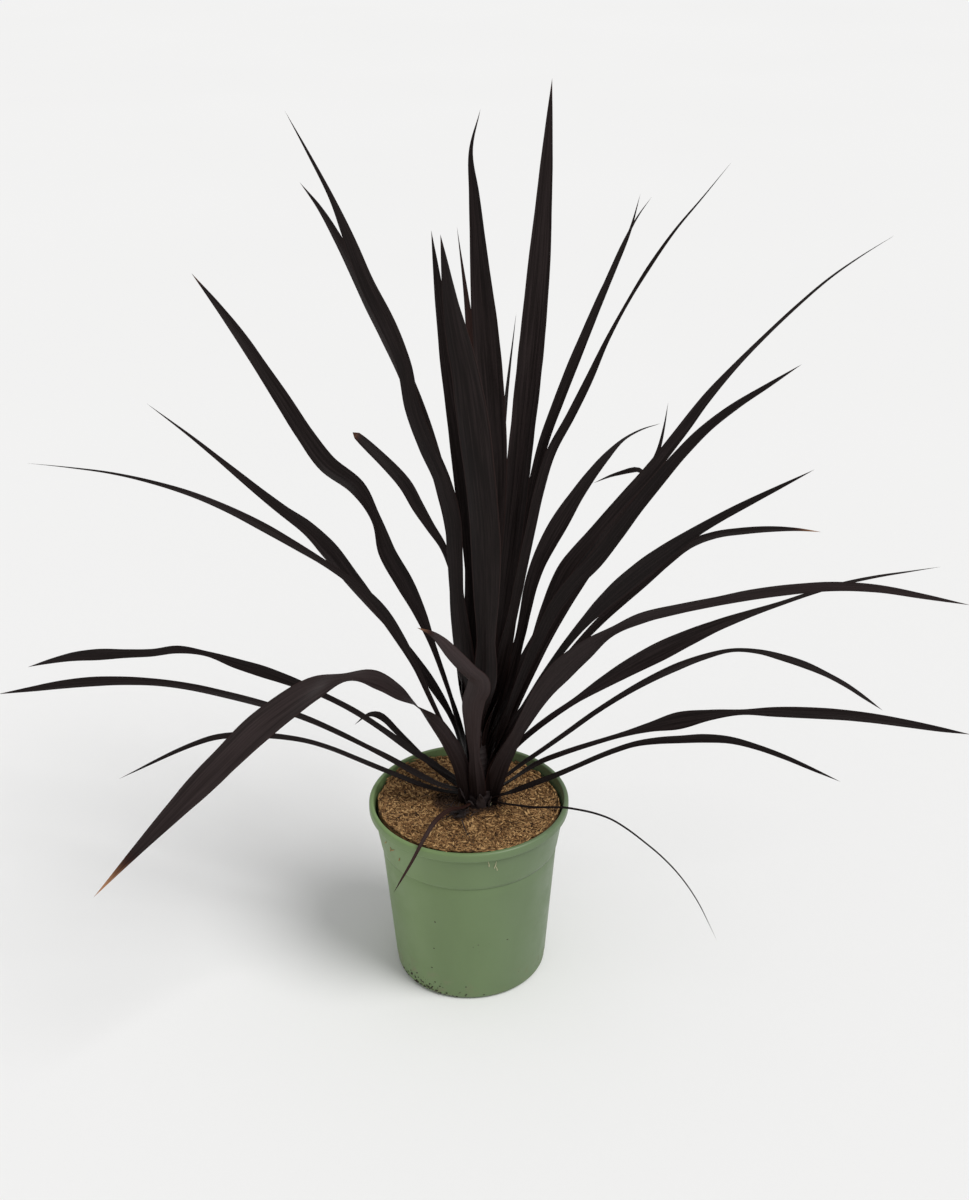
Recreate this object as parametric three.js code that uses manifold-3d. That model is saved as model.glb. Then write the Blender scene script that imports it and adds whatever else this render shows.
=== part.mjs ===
// A potted burgundy cabbage tree: a short crown of dark strap leaves in a green nursery pot.
// Millimetres, +Z up. The origin is the centre of the pot's underside, on the surface it stands on.
// Seen from the front, +X is to the right and +Y goes away.
import * as THREE from 'three';
import { mergeVertices } from 'three/addons/utils/BufferGeometryUtils.js';
import Module from 'manifold-3d';

const wasm = await Module();
wasm.setup();

// Pot: a thin moulded tapering wall under a rounded rim
const POT_HEIGHT = 185;
const RIM_RADIUS = 95;
const RIM_ROUND = 2.6;
const RIM_LAND = 5;
const LIP_HEIGHT = 9;
const COLLAR_RADIUS = 91;
const COLLAR_HEIGHT = 46;
const COLLAR_STEP = 0.8;
const BODY_TOP_RADIUS = 84;
const BASE_RADIUS = 73;
const BASE_CORNER = 5;
const WALL = 1.6;
const POT_SEGMENTS = 64;
const DRAIN_HOLES = 6;
const DRAIN_HOLE_RADIUS = 5;
const DRAIN_HOLE_SEGMENTS = 12;
const DRAIN_CIRCLE = 48;
const DRAIN_TURN = 30;

// Filling: potting mix below, coir and husk on top
const GAP = 0.3;
const DRESSING_TOP = 178;
const DRESSING_DEPTH = 9;
const DRESSING_MOUND = 2;
const MOUND_SPACING = 20;
const DRESSING_HOLLOW = 4;
const HOLLOW_START = 20;
const HOLLOW_END = 80;
const DRESSING_RINGS = 5;
const SOIL_SEGMENTS = 48;

// Stem: a short leafy crown, a little right of the pot's axis
const STEM_X = 10;
const STEM_Y = 2;
const STEM_RADIUS = 13;
const STEM_SHOULDER = 196;
const STEM_TIP_RADIUS = 3;
const STEM_TOP = 278;
const STEM_SEGMENTS = 24;

// Leaves: thin blades with a shallow fold along the midrib
const LEAF_STATIONS = 16;
const LEAF_THICKNESS = 1.1;
const LEAF_THINNING = 0.5;
const LEAF_FOLD = 0.1;
const LEAF_BASE_WIDTH = 7;
const BLUNT_END = 0.985;

// How far a cutting shape runs past the solid it cuts
const OVERRUN = 1;

const { degToRad: rad, clamp, lerp, mapLinear, smoothstep } = THREE.MathUtils;

const green = new THREE.MeshStandardMaterial({ color: 0x6c845c, roughness: 0.5, metalness: 0 });
const mix = new THREE.MeshStandardMaterial({ color: 0x33271d, roughness: 0.95, metalness: 0 });
const husk = new THREE.MeshStandardMaterial({ color: 0x8a6a44, roughness: 0.9, metalness: 0 });
const bark = new THREE.MeshStandardMaterial({ color: 0x2a1c1c, roughness: 0.8, metalness: 0 });
const burgundy = new THREE.MeshStandardMaterial({ color: 0x2b1d20, roughness: 0.45, metalness: 0 });

// A closed geometry as a solid, and a solid back as a geometry
function toSolid(geometry) {
  const bare = geometry.clone();
  bare.deleteAttribute('normal');
  bare.deleteAttribute('uv');
  const merged = mergeVertices(bare, 1e-4);
  return new wasm.Manifold(new wasm.Mesh({
    numProp: 3,
    vertProperties: new Float32Array(merged.attributes.position.array),
    triVerts: new Uint32Array(merged.index.array),
  }));
}

function toGeometry(solid) {
  const mesh = solid.getMesh();
  const geometry = new THREE.BufferGeometry();
  geometry.setAttribute('position', new THREE.BufferAttribute(mesh.vertProperties, 3));
  geometry.setIndex(new THREE.BufferAttribute(mesh.triVerts, 1));
  geometry.computeVertexNormals();
  return geometry;
}

// A turned shape about +Z from [radius, height] points that start and end on the axis
function turned(profile, segments) {
  const points = profile.map(([radius, height]) => new THREE.Vector2(radius, height));
  return new THREE.LatheGeometry(points, segments).rotateX(Math.PI / 2);
}

function upright(radius, bottom, top, segments) {
  return new THREE.CylinderGeometry(radius, radius, top - bottom, segments)
    .rotateX(Math.PI / 2)
    .translate(0, 0, (top + bottom) / 2);
}

function piece(name, geometry, material) {
  const mesh = new THREE.Mesh(geometry, material);
  mesh.name = name;
  return mesh;
}

// The pot's inside radius at a height: the body's taper, then the collar's to the rim's inner edge
const COLLAR_BOTTOM = POT_HEIGHT - COLLAR_HEIGHT;
const FLOOR_RADIUS = BASE_RADIUS - WALL - 0.6 * BASE_CORNER;

function innerRadius(height) {
  const corner = BASE_RADIUS - WALL;
  const waist = BODY_TOP_RADIUS - WALL;
  if (height < COLLAR_BOTTOM) return mapLinear(height, BASE_CORNER, COLLAR_BOTTOM, corner, waist);
  return mapLinear(height, COLLAR_BOTTOM, POT_HEIGHT, waist, RIM_RADIUS - RIM_LAND);
}

function makePot() {
  const lipBottom = POT_HEIGHT - LIP_HEIGHT;
  const outer = [
    [0, 0],
    [BASE_RADIUS - BASE_CORNER, 0],
    [BASE_RADIUS - 0.3 * BASE_CORNER, 0.3 * BASE_CORNER],
    [BASE_RADIUS, BASE_CORNER],
    [BODY_TOP_RADIUS, COLLAR_BOTTOM],
    [BODY_TOP_RADIUS + COLLAR_STEP, COLLAR_BOTTOM + 2 * COLLAR_STEP],
    [COLLAR_RADIUS - 0.6 * RIM_ROUND, lipBottom - 0.4 * RIM_ROUND],
    [COLLAR_RADIUS, lipBottom],
    [RIM_RADIUS - 0.2 * RIM_ROUND, lipBottom + 0.2 * RIM_ROUND],
    [RIM_RADIUS, lipBottom + 0.8 * RIM_ROUND],
    [RIM_RADIUS - 0.15 * RIM_ROUND, POT_HEIGHT - 0.8 * RIM_ROUND],
    [RIM_RADIUS - 0.6 * RIM_ROUND, POT_HEIGHT - 0.15 * RIM_ROUND],
    [RIM_RADIUS - RIM_ROUND, POT_HEIGHT],
  ];
  const inner = [
    [RIM_RADIUS - RIM_LAND, POT_HEIGHT - 0.2 * RIM_ROUND],
    [innerRadius(lipBottom), lipBottom],
    [innerRadius(COLLAR_BOTTOM), COLLAR_BOTTOM],
    [innerRadius(BASE_CORNER), BASE_CORNER],
    [FLOOR_RADIUS, WALL],
    [0, WALL],
  ];
  let pot = toSolid(turned([...outer, ...inner], POT_SEGMENTS));
  for (let i = 0; i < DRAIN_HOLES; i++) {
    const angle = rad(DRAIN_TURN + (360 / DRAIN_HOLES) * i);
    const hole = upright(DRAIN_HOLE_RADIUS, -OVERRUN, WALL + OVERRUN, DRAIN_HOLE_SEGMENTS);
    hole.translate(DRAIN_CIRCLE * Math.cos(angle), DRAIN_CIRCLE * Math.sin(angle), 0);
    pot = pot.subtract(toSolid(hole));
  }
  return piece('pot', toGeometry(pot), green);
}

// Potting mix, from the pot's floor to the underside of the dressing. Twice the gap is left
// at the sides, because the wall and the filling are faceted differently.
const ROOT_BALL_TOP = DRESSING_TOP - DRESSING_DEPTH;
const filledRadius = (height) => innerRadius(height) - 2 * GAP;

function makeRootBall() {
  const bottom = WALL + GAP;
  const profile = [
    [0, bottom],
    [FLOOR_RADIUS - 2 * GAP, bottom],
    [filledRadius(BASE_CORNER), BASE_CORNER + GAP],
    [filledRadius(COLLAR_BOTTOM), COLLAR_BOTTOM],
    [filledRadius(ROOT_BALL_TOP), ROOT_BALL_TOP],
    [0, ROOT_BALL_TOP],
  ];
  return piece('root_ball', turned(profile, SOIL_SEGMENTS), mix);
}

// The husk surface is uneven, and lies lower at the back right
function dressingHeight(x, y) {
  const mound = DRESSING_MOUND * Math.cos(x / MOUND_SPACING) * Math.sin(y / MOUND_SPACING + 1);
  const towardsBackRight = 0.6 * x + 0.8 * y;
  const hollow = DRESSING_HOLLOW * smoothstep(towardsBackRight, HOLLOW_START, HOLLOW_END);
  return DRESSING_TOP + mound - hollow;
}

function makeDressing() {
  const bottom = ROOT_BALL_TOP + GAP;
  const edge = filledRadius(bottom);
  const profile = [[0, bottom], [edge, bottom]];
  for (let ring = DRESSING_RINGS; ring >= 0; ring--) {
    profile.push([edge * ring / DRESSING_RINGS, DRESSING_TOP]);
  }
  const geometry = turned(profile, SOIL_SEGMENTS);
  const position = geometry.attributes.position;
  for (let i = 0; i < position.count; i++) {
    if (position.getZ(i) < DRESSING_TOP - GAP) continue;
    position.setZ(i, dressingHeight(position.getX(i), position.getY(i)));
  }
  const holeTop = DRESSING_TOP + DRESSING_MOUND + OVERRUN;
  const stemHole = upright(STEM_RADIUS + GAP, bottom - OVERRUN, holeTop, STEM_SEGMENTS);
  stemHole.translate(STEM_X, STEM_Y, 0);
  return piece('top_dressing', toGeometry(toSolid(geometry).subtract(toSolid(stemHole))), husk);
}

// The stem is full below its shoulder and tapers to the growing tip
function stemRadius(height) {
  const share = clamp(mapLinear(height, STEM_SHOULDER, STEM_TOP, 0, 1), 0, 1);
  return lerp(STEM_RADIUS, STEM_TIP_RADIUS, share);
}

function makeStem() {
  const profile = [
    [0, ROOT_BALL_TOP + GAP],
    [STEM_RADIUS, ROOT_BALL_TOP + GAP],
    [STEM_RADIUS, STEM_SHOULDER],
    [STEM_TIP_RADIUS, STEM_TOP],
    [0, STEM_TOP + 0.6 * STEM_TIP_RADIUS],
  ];
  const stem = turned(profile, STEM_SEGMENTS);
  stem.translate(STEM_X, STEM_Y, 0);
  return piece('stem', stem, bark);
}

// The [width, roll] of a blade at a distance along it, between its [along, width, roll] stops
function bladeAt(blade, along) {
  const stops = [[0, Math.min(LEAF_BASE_WIDTH, blade[0][1]), 0], ...blade, [1, 0, blade.at(-1)[2]]];
  const next = stops.findIndex((stop) => stop[0] > along);
  const [from, to] = [stops[next - 1], stops[next]];
  const share = (along - from[0]) / (to[0] - from[0]);
  return [1, 2].map((k) => lerp(from[k], to[k], share));
}

// One leaf grows from the stem at height foot, towards heading (degrees from +X, counterclockwise).
// spine lists [reach, height, sideways] points along the midrib. blade lists [along, width, roll]
// stops, where roll turns the blade about its midrib and 0 lays it level across.
function makeLeaf(name, { heading, foot, spine, blade, blunt = false }) {
  const out = new THREE.Vector3(Math.cos(rad(heading)), Math.sin(rad(heading)), 0);
  const side = new THREE.Vector3(-out.y, out.x, 0);
  const [firstReach, firstHeight] = spine[0];
  const start = stemRadius(foot);
  const steepness = (firstHeight - foot) / Math.hypot(firstReach - start, firstHeight - foot);
  const seat = [start + GAP + steepness * LEAF_THICKNESS / 2, foot];
  const curve = new THREE.CatmullRomCurve3([seat, ...spine].map(([reach, height, sway = 0]) =>
    new THREE.Vector3(STEM_X, STEM_Y, height).addScaledVector(out, reach).addScaledVector(side, sway)));
  curve.curveType = 'centripetal';

  const vertices = [];
  for (let i = 0; i < LEAF_STATIONS; i++) {
    const along = blunt && i === LEAF_STATIONS - 1 ? BLUNT_END : i / LEAF_STATIONS;
    const [width, roll] = bladeAt(blade, along);
    const centre = curve.getPointAt(along);
    const tangent = curve.getTangentAt(along);
    const level = side.clone().addScaledVector(tangent, -side.dot(tangent)).normalize();
    const across = level.applyAxisAngle(tangent, rad(roll));
    const face = tangent.clone().cross(across);
    const thick = LEAF_THICKNESS * (1 - LEAF_THINNING * along) / 2;
    const raised = LEAF_FOLD * width / 2;
    vertices.push(
      centre.clone().addScaledVector(across, width / 2).addScaledVector(face, raised),
      centre.clone().addScaledVector(face, thick),
      centre.clone().addScaledVector(across, -width / 2).addScaledVector(face, raised),
      centre.clone().addScaledVector(face, -thick),
    );
  }
  const tip = vertices.length;
  vertices.push(curve.getPointAt(1));

  // Both faces of a half blade are split along the same diagonal, so they stay apart where it twists
  const faces = [[0, 3, 1], [1, 3, 2]];
  for (let i = 0; i < LEAF_STATIONS; i++) {
    for (let k = 0; k < 4; k++) {
      const a = 4 * i + k;
      const b = 4 * i + (k + 1) % 4;
      if (i === LEAF_STATIONS - 1) faces.push([a, b, tip]);
      else if (k < 2) faces.push([a, b, b + 4], [a, b + 4, a + 4]);
      else faces.push([a, b, a + 4], [b, b + 4, a + 4]);
    }
  }
  const geometry = new THREE.BufferGeometry().setFromPoints(vertices);
  geometry.setIndex(faces.flat());
  geometry.computeVertexNormals();
  return piece(name, geometry, burgundy);
}

// Every leaf of the crown, from the upright middle to the old outer ones
const LEAVES = {
  leaf_centre_tallest: {
    heading: 75,
    foot: 262,
    spine: [[11, 284, -6], [16, 315, -10], [34, 420, -21], [50, 521, -29], [67, 607, -34], [97, 739, -38],
      [120, 826, -39]],
    blade: [[0.15, 14, 8], [0.35, 22, 10], [0.6, 22.5, 12], [0.75, 19, 12], [0.9, 9.5, 12]],
  },
  leaf_centre_hooked: {
    heading: 100,
    foot: 272,
    spine: [[7, 300, -6], [11, 388, -13], [22, 527, -20], [36, 623, -17], [50, 718, -13], [62, 788, -12],
      [66, 808, -20]],
    blade: [[0.15, 12, -8], [0.4, 23, -10], [0.65, 24, -10], [0.8, 14, -10], [0.9, 7, -10],
      [0.95, 3.5, -50]],
  },
  leaf_centre_front: {
    heading: 265,
    foot: 268,
    spine: [[11, 296, 6], [26, 445, 10], [37, 537, 5], [49, 621, -3], [58, 675, -12], [70, 739, -19]],
    blade: [[0.12, 12, 2], [0.35, 26, 4], [0.65, 27, 6], [0.8, 20, 8], [0.92, 9, 10]],
  },
  leaf_centre_back_left: {
    heading: 120,
    foot: 256,
    spine: [[11, 280, -4], [32, 413, -14], [58, 514, -18], [85, 610, -20], [110, 700, -23]],
    blade: [[0.2, 10, -25], [0.5, 17, -28], [0.75, 15, -28], [0.9, 7.5, -28]],
  },
  leaf_back_brown: {
    heading: 95,
    foot: 240,
    spine: [[22, 290, -4], [48, 370, -9], [82, 475, -12], [132, 602, -9], [170, 688, -2]],
    blade: [[0.3, 10, -5], [0.6, 13, -5], [0.8, 8, -5], [0.9, 3, -5]],
  },
  leaf_back_needle: {
    heading: 80,
    foot: 230,
    spine: [[25, 255, 1], [59, 310, 2], [129, 415, 2], [202, 510, 3], [260, 581, 1]],
    blade: [[0.3, 10, 8], [0.6, 7, 8], [0.8, 3.5, 8], [0.9, 1.8, 8]],
  },
  leaf_left_upright_front: {
    heading: 205,
    foot: 250,
    spine: [[9, 290], [20, 400], [25, 490], [48, 556], [61, 600], [65, 630], [91, 690], [118, 762],
      [152, 831]],
    blade: [[0.15, 10, 45], [0.35, 15, 66], [0.5, 15, 70], [0.62, 12, 70], [0.7, 14, 72], [0.8, 10.5, 74],
      [0.87, 4.5, 76]],
  },
  leaf_left_upright_back: {
    heading: 130,
    foot: 248,
    spine: [[16, 290], [27, 385], [36, 460], [81, 560], [141, 634], [201, 700], [240, 726]],
    blade: [[0.2, 9, -30], [0.5, 13, -37], [0.75, 11.5, -37], [0.9, 7, -37]],
  },
  leaf_left_high: {
    heading: 168,
    foot: 216,
    spine: [[20, 265], [45, 352], [62, 397], [80, 430], [101, 488], [136, 519], [166, 566], [210, 637],
      [242, 680]],
    blade: [[0.1, 5, -20], [0.25, 7, -40], [0.4, 18, -68], [0.5, 11, -20], [0.6, 17, -66], [0.75, 14, -64],
      [0.9, 9, -64]],
  },
  leaf_left_middle: {
    heading: 145,
    foot: 208,
    spine: [[27, 254], [57, 295], [106, 343], [151, 384], [183, 411], [236, 433], [338, 480], [394, 503]],
    blade: [[0.1, 5, -10], [0.2, 10, -45], [0.3, 6, -20], [0.4, 13, -44], [0.5, 17, -45], [0.62, 11, -50],
      [0.8, 5, -48]],
  },
  leaf_left_long_thin: {
    heading: 190,
    foot: 207,
    spine: [[20, 232], [40, 283], [66, 352], [98, 408], [162, 465], [235, 514], [302, 541], [370, 556]],
    blade: [[0.1, 5, -40], [0.25, 6, -60], [0.36, 12, -80], [0.47, 5, -60], [0.62, 8, -70], [0.74, 5, -70],
      [0.85, 2.2, -70]],
  },
  leaf_left_cut_short: {
    heading: 168,
    foot: 230,
    blunt: true,
    spine: [[14, 289], [16, 371], [28, 438], [48, 472], [65, 503], [86, 525], [108, 546]],
    blade: [[0.4, 6, -20], [0.65, 7, -38], [0.78, 13, -38], [0.92, 11, -39], [0.985, 8, -39]],
  },
  leaf_front_folded: {
    heading: 262,
    foot: 200,
    spine: [[17, 244, -2], [36, 305, 0], [47, 335, 7], [55, 352, -2], [62, 372, -14], [70, 393, -28],
      [75, 402, -42]],
    blade: [[0.15, 9, 5], [0.3, 14, 8], [0.45, 20, 5], [0.58, 22, 5], [0.68, 15, 20], [0.85, 11, 36]],
  },
  leaf_front_drooping: {
    heading: 213,
    foot: 190,
    spine: [[18, 218], [40, 271], [81, 321], [118, 351], [160, 358], [215, 342], [266, 311], [325, 270],
      [382, 229]],
    blade: [[0.08, 12, 0], [0.2, 8, -30], [0.27, 6, -60], [0.35, 21, -80], [0.43, 10, -5], [0.52, 23, -50],
      [0.62, 28, -52], [0.75, 22, -52], [0.88, 10, -52]],
  },
  leaf_left_low_upper: {
    heading: 158,
    foot: 190,
    spine: [[25, 198], [67, 219], [126, 251], [191, 271], [252, 280], [309, 285], [345, 275], [447, 251],
      [505, 228]],
    blade: [[0.1, 8, -20], [0.2, 5.5, -45], [0.32, 6, -50], [0.42, 12, -53], [0.5, 10, -54], [0.55, 5, -30],
      [0.62, 8, -60], [0.72, 8, -65], [0.82, 12, -68], [0.9, 8, -70]],
  },
  leaf_left_low_middle: {
    heading: 188,
    foot: 189,
    spine: [[43, 204], [93, 242], [162, 288], [221, 315], [280, 335], [343, 343], [425, 338]],
    blade: [[0.12, 6.5, -40], [0.25, 4.5, -65], [0.5, 6.5, -62], [0.7, 6.5, -61], [0.8, 9, -61],
      [0.9, 7, -61]],
  },
  leaf_left_low_curving: {
    heading: 174,
    foot: 184,
    spine: [[47, 191], [95, 211], [156, 236], [197, 242], [244, 240], [275, 229], [352, 186]],
    blade: [[0.15, 5, -40], [0.4, 4.5, -57], [0.65, 6, -60], [0.85, 3.5, -68]],
  },
  leaf_left_curl: {
    heading: 150,
    foot: 184,
    spine: [[27, 190], [54, 204], [88, 228], [108, 242], [122, 240], [140, 223]],
    blade: [[0.3, 4.5, -46], [0.6, 6, -46], [0.75, 7, -50], [0.88, 2.5, -80]],
  },
  leaf_front_over_rim: {
    heading: 238,
    foot: 184,
    spine: [[31, 189], [53, 199], [78, 201], [97, 193], [117, 181], [148, 166]],
    blade: [[0.2, 5, -50], [0.45, 6, -40], [0.7, 4, -29], [0.9, 2.5, -29]],
  },
  leaf_right_upright_front: {
    heading: 40,
    foot: 242,
    spine: [[23, 288], [44, 380], [76, 512], [103, 567], [143, 635], [183, 698], [193, 725]],
    blade: [[0.2, 8, 40], [0.5, 9, 44], [0.7, 9.5, 44], [0.82, 7, 43], [0.9, 4, 43]],
  },
  leaf_right_upright_back: {
    heading: 58,
    foot: 258,
    spine: [[17, 290], [42, 358], [86, 442], [154, 547], [221, 608], [292, 667], [334, 687]],
    blade: [[0.2, 7, 27], [0.5, 6, 27], [0.8, 4, 30], [0.9, 2.5, 31]],
  },
  leaf_right_wispy: {
    heading: 12,
    foot: 251,
    spine: [[26, 339], [51, 466], [65, 523], [92, 574], [123, 640], [164, 705], [201, 748], [218, 768]],
    blade: [[0.2, 9, 65], [0.45, 9, 70], [0.63, 7, 67], [0.72, 2.5, 67], [0.8, 3.5, 66], [0.88, 2, 66]],
  },
  leaf_right_longest: {
    heading: 28,
    foot: 214,
    spine: [[25, 252], [66, 340], [86, 392], [124, 431], [191, 488], [250, 547], [323, 601], [386, 638],
      [452, 664]],
    blade: [[0.1, 6, 20], [0.2, 12, 45], [0.3, 15, 50], [0.38, 12, 50], [0.55, 11.5, 50], [0.65, 8, 51],
      [0.71, 4, 52], [0.85, 2.5, 54]],
  },
  leaf_right_high: {
    heading: -18,
    foot: 218,
    spine: [[21, 253], [49, 340], [76, 404], [114, 455], [147, 508], [200, 580], [269, 637]],
    blade: [[0.15, 7, 60], [0.3, 10, 90], [0.42, 13, 89], [0.5, 14, 84], [0.65, 12, 86], [0.8, 8.5, 82],
      [0.92, 5, 80]],
  },
  leaf_right_hook_up: {
    heading: 48,
    foot: 224,
    spine: [[22, 250], [60, 300], [120, 350], [182, 389], [229, 415], [266, 443], [278, 462], [288, 501]],
    blade: [[0.3, 8, 34], [0.7, 8, 36], [0.88, 4, 33]],
  },
  leaf_right_hook_back: {
    heading: 40,
    foot: 208,
    spine: [[25, 235], [80, 320], [138, 380], [186, 418], [219, 445], [217, 455, 15], [188, 440, 45]],
    blade: [[0.3, 8, 40], [0.7, 8, 43], [0.85, 5, 30]],
  },
  leaf_right_curved: {
    heading: 35,
    foot: 236,
    spine: [[19, 260], [48, 337], [66, 404], [97, 449], [141, 491], [174, 510], [212, 513]],
    blade: [[0.2, 8, 30], [0.4, 11, 47], [0.5, 14, 47], [0.6, 18, 46], [0.7, 12, 46], [0.8, 8, 47],
      [0.87, 3, 50]],
  },
  leaf_right_broad: {
    heading: -28,
    foot: 205,
    spine: [[18, 231], [43, 287], [97, 383], [135, 433], [176, 476], [210, 507], [295, 571]],
    blade: [[0.2, 6, 60], [0.42, 7, 94], [0.52, 14, 90], [0.6, 18, 87], [0.68, 14, 84], [0.76, 8, 82],
      [0.9, 5, 80]],
  },
  leaf_right_yellow_tip: {
    heading: 12,
    foot: 206,
    spine: [[18, 226], [43, 268], [101, 342], [149, 387], [193, 423], [218, 432], [285, 432], [328, 424]],
    blade: [[0.2, 5.5, 40], [0.4, 7, 59], [0.6, 11, 58], [0.72, 7, 60], [0.85, 6.5, 65], [0.93, 3.5, 66]],
  },
  leaf_right_long_arch: {
    heading: -32,
    foot: 190,
    spine: [[21, 219], [40, 262], [75, 329], [113, 375], [159, 415], [215, 443], [279, 471], [345, 491],
      [430, 497]],
    blade: [[0.1, 8, 60], [0.2, 14, 95], [0.3, 20.5, 89], [0.36, 19, 86], [0.42, 8, 40], [0.5, 9.5, 76],
      [0.6, 7.5, 73], [0.72, 9, 72], [0.85, 7, 66], [0.93, 4.5, 64]],
  },
  leaf_right_middle: {
    heading: 4,
    foot: 197,
    spine: [[22, 222], [52, 254], [98, 289], [146, 320], [214, 353], [275, 374], [342, 394], [425, 405]],
    blade: [[0.1, 6, 40], [0.25, 6, 60], [0.33, 13, 60], [0.41, 19, 60], [0.5, 15, 60], [0.6, 8, 60],
      [0.67, 4.5, 60], [0.85, 3, 61]],
  },
  leaf_right_drooping: {
    heading: 18,
    foot: 190,
    spine: [[31, 203], [77, 229], [128, 258], [177, 279], [227, 292], [269, 293], [330, 269], [385, 235],
      [440, 190]],
    blade: [[0.12, 5, 30], [0.3, 5.5, 52], [0.45, 7.5, 55], [0.58, 3.5, 62], [0.72, 8, 75], [0.8, 5.5, 79],
      [0.92, 4.5, 84]],
  },
  leaf_right_level: {
    heading: -12,
    foot: 189,
    spine: [[35, 209], [59, 229], [92, 247], [132, 266], [168, 281], [226, 299], [296, 307], [350, 308],
      [440, 300]],
    blade: [[0.12, 6, 30], [0.3, 4, 60], [0.38, 9, 62], [0.44, 16, 61], [0.5, 10, 60], [0.55, 5, 45],
      [0.62, 9, 60], [0.7, 10.5, 60], [0.82, 8.5, 60], [0.92, 6, 60]],
  },
  leaf_right_low: {
    heading: -38,
    foot: 186,
    spine: [[51, 213], [94, 246], [135, 279], [173, 306], [214, 325], [258, 341], [299, 344], [360, 339]],
    blade: [[0.1, 6, 50], [0.3, 4.5, 78], [0.5, 5, 73], [0.68, 7.5, 65], [0.8, 5, 57], [0.92, 3.5, 54]],
  },
  leaf_right_over_rim: {
    heading: -40,
    foot: 183,
    spine: [[23, 186], [67, 199], [101, 213], [150, 222], [185, 214], [217, 200], [242, 179], [267, 143]],
    blade: [[0.1, 5, 30], [0.3, 4, 60], [0.6, 3, 45], [0.85, 2, 46]],
  },
};

const plant = new THREE.Group();
plant.add(makePot(), makeRootBall(), makeDressing(), makeStem());
for (const [name, leaf] of Object.entries(LEAVES)) plant.add(makeLeaf(name, leaf));

export default plant;
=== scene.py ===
# A young cabbage tree with burgundy strap leaves in a green nursery pot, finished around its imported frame.
# Metres, +Z up. The origin is the centre of the pot's underside. Seen from the front, +X is to the right.

import math
from bisect import bisect
from itertools import permutations
from random import Random

import bmesh
import bpy
from bpy.props import FloatProperty, FloatVectorProperty, IntProperty, PointerProperty
from mathutils import Euler, Matrix, Vector, noise
from mathutils.bvhtree import BVHTree


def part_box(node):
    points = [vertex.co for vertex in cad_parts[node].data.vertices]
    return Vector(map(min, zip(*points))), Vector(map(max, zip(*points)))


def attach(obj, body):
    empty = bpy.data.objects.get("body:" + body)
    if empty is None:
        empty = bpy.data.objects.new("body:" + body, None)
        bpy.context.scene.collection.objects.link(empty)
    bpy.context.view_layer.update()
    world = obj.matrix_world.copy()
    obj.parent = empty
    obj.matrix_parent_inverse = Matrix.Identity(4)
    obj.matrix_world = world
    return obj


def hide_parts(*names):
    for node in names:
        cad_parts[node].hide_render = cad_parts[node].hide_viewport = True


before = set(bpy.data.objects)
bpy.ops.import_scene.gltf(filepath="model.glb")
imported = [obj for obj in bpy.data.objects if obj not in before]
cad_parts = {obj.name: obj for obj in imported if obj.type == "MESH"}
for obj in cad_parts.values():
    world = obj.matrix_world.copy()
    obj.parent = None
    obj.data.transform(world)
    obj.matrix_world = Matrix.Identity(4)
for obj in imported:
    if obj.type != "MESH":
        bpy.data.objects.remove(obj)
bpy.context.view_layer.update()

bl_info = {
    "name": "Potted burgundy cabbage tree",
    "version": (1, 0, 0),
    "blender": (4, 5, 0),
    "location": "View3D > Sidebar > Cabbage tree",
    "description": "Builds a strap-leaved plant in its nursery pot, piece by piece",
    "category": "Add Mesh",
}

MM = 0.001

# Points closer together than MERGE are one, and those of a unit ball within NEAR_POLE of its axis are poles
MERGE = 1e-6
NEAR_POLE = 10 * MERGE

POT_LOW, POT_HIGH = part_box("pot")
STEM_LOW, STEM_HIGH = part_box("stem")
DRESSING_LOW, DRESSING_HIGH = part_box("top_dressing")
STEM_AXIS = ((STEM_LOW + STEM_HIGH) / 2).xy
STEM_RADIUS = (STEM_HIGH.x - STEM_LOW.x) / 2
RIM_RADIUS = (POT_HIGH.x - POT_LOW.x) / 2
DRESSING_RADIUS = (DRESSING_HIGH.x - DRESSING_LOW.x) / 2

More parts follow.
